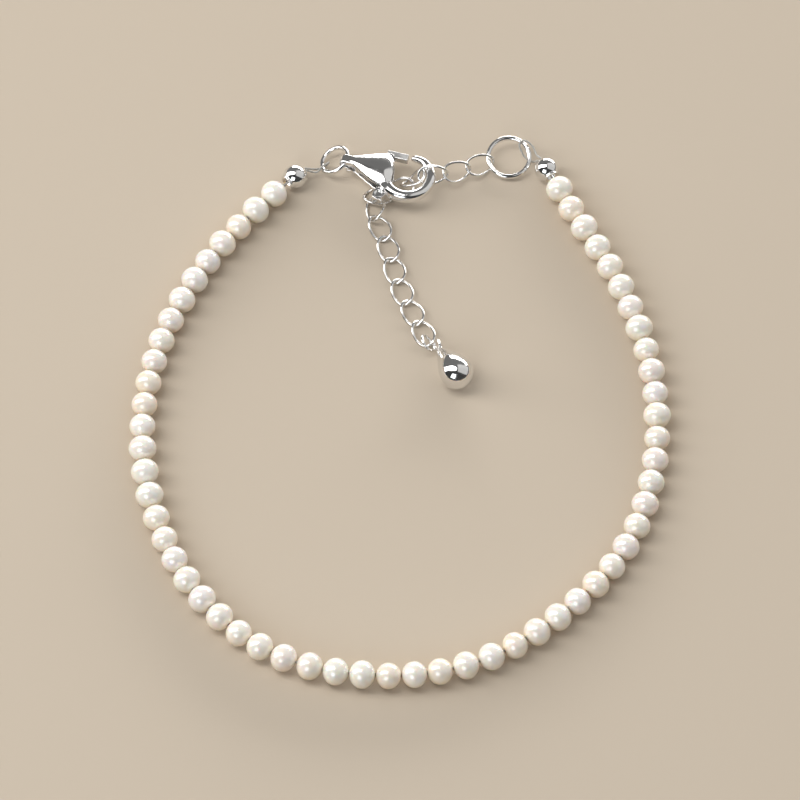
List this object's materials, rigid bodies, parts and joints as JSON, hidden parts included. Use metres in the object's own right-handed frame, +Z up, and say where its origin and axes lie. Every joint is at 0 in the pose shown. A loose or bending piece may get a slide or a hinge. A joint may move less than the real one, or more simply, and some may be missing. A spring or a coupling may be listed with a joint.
{
  "type": "pearl bracelet",
  "caption": "Fastened bracelet of small cream pearls lying in a loop, with polished metal end beads, a hook clasp with a sprung lever, and a curb chain that ends in a drop.",
  "frame": {"origin": "on the surface that the bracelet lies on, under the middle of its bounding box", "axes": "+Z up from that surface, +Y from the middle of the string towards the clasp, +X from the clasp towards the end ring"},
  "size_m": [0.0546, 0.0642, 0.0035],
  "materials": {
    "pearl": "satin nacre, cream",
    "silver": "polished silver",
    "chain_silver": "polished silver wire",
    "thread": "twisted thread"
  },
  "bodies": {
    "root": {"pearls_left": "pearl", "pearls_right": "pearl", "bead_left": "silver", "bead_right": "silver", "thread_loop_left": "thread", "thread_loop_right": "thread", "clasp_ring": "silver", "clasp_body": "silver", "clasp_pin": "silver", "chain_link_01": "chain_silver", "chain_link_02": "chain_silver", "chain_link_03": "chain_silver", "chain_link_04": "chain_silver", "chain_link_05": "chain_silver", "chain_link_06": "chain_silver", "chain_link_07": "chain_silver", "chain_link_08": "chain_silver", "chain_link_09": "chain_silver", "chain_link_10": "chain_silver", "chain_link_11": "chain_silver", "chain_link_12": "chain_silver", "chain_link_13": "chain_silver", "end_ring": "silver", "drop_ring": "chain_silver", "drop": "silver"},
    "lever": {"clasp_lever": "silver"}
  },
  "joints": [
    {"name": "lever_hinge", "type": "hinge", "parent": "root", "child": "lever", "pos_m": [-0.00155, 0.02863, 0.00186], "axis": [0.0502, -0.0149, -0.9986], "range_deg": [0, 28], "stiffness_Nm_per_rad": 0.002, "springref_deg": -17.19}
  ]
}
